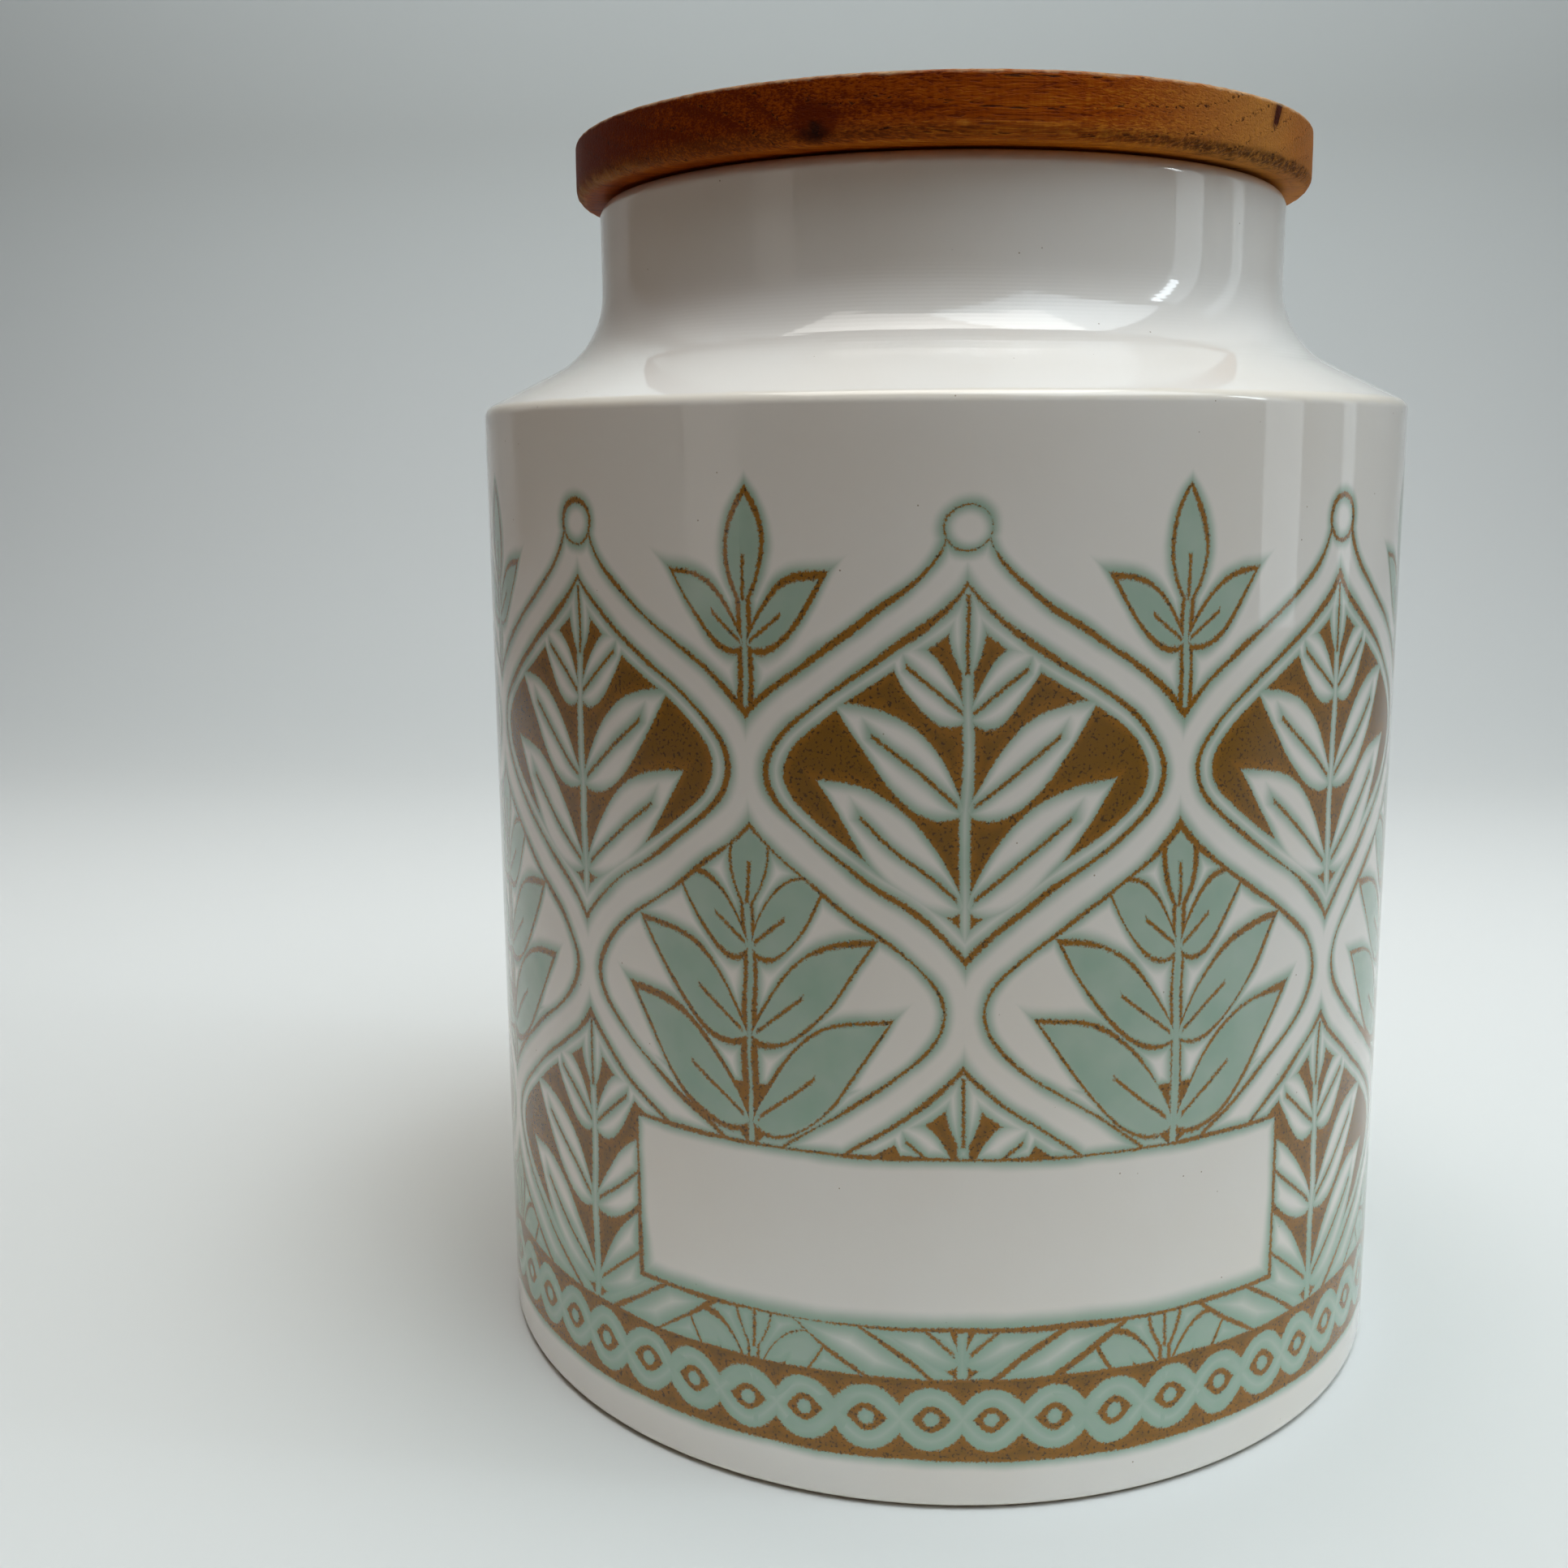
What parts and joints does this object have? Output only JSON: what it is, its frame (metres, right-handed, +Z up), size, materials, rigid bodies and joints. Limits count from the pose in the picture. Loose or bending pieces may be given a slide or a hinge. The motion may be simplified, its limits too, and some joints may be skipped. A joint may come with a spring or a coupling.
{
  "type": "food canister",
  "caption": "Straight-sided glazed earthenware storage jar with a sloped shoulder and wide neck, closed by a flat turned wooden push-in lid with a soft seal.",
  "frame": {"origin": "on the jar's axis, in the plane of the standing ring that meets the table", "axes": "+Z up along the axis of the jar; -Y towards the viewer, the side whose label panel faces the front"},
  "size_m": [0.155, 0.155, 0.2],
  "materials": {
    "glaze": "glossy white glaze with an olive-brown and mint printed band",
    "lid_wood": "oiled and worn, with open pores and a rubbed upper edge",
    "seal_plastic": "soft milky moulded plastic"
  },
  "bodies": {
    "jar": {"jar_body": "glaze"},
    "seal": {"lid_seal": "seal_plastic"},
    "lid": {"lid_board": "lid_wood"}
  },
  "joints": [
    {"name": "lid_lift", "type": "slide", "parent": "jar", "child": "seal", "axis": [0, 0, 1], "range_m": [0, 0.12]},
    {"name": "lid_turn", "type": "hinge", "parent": "seal", "child": "lid", "pos_m": [0, 0, 0.191], "axis": [0, 0, 1], "continuous": true}
  ]
}
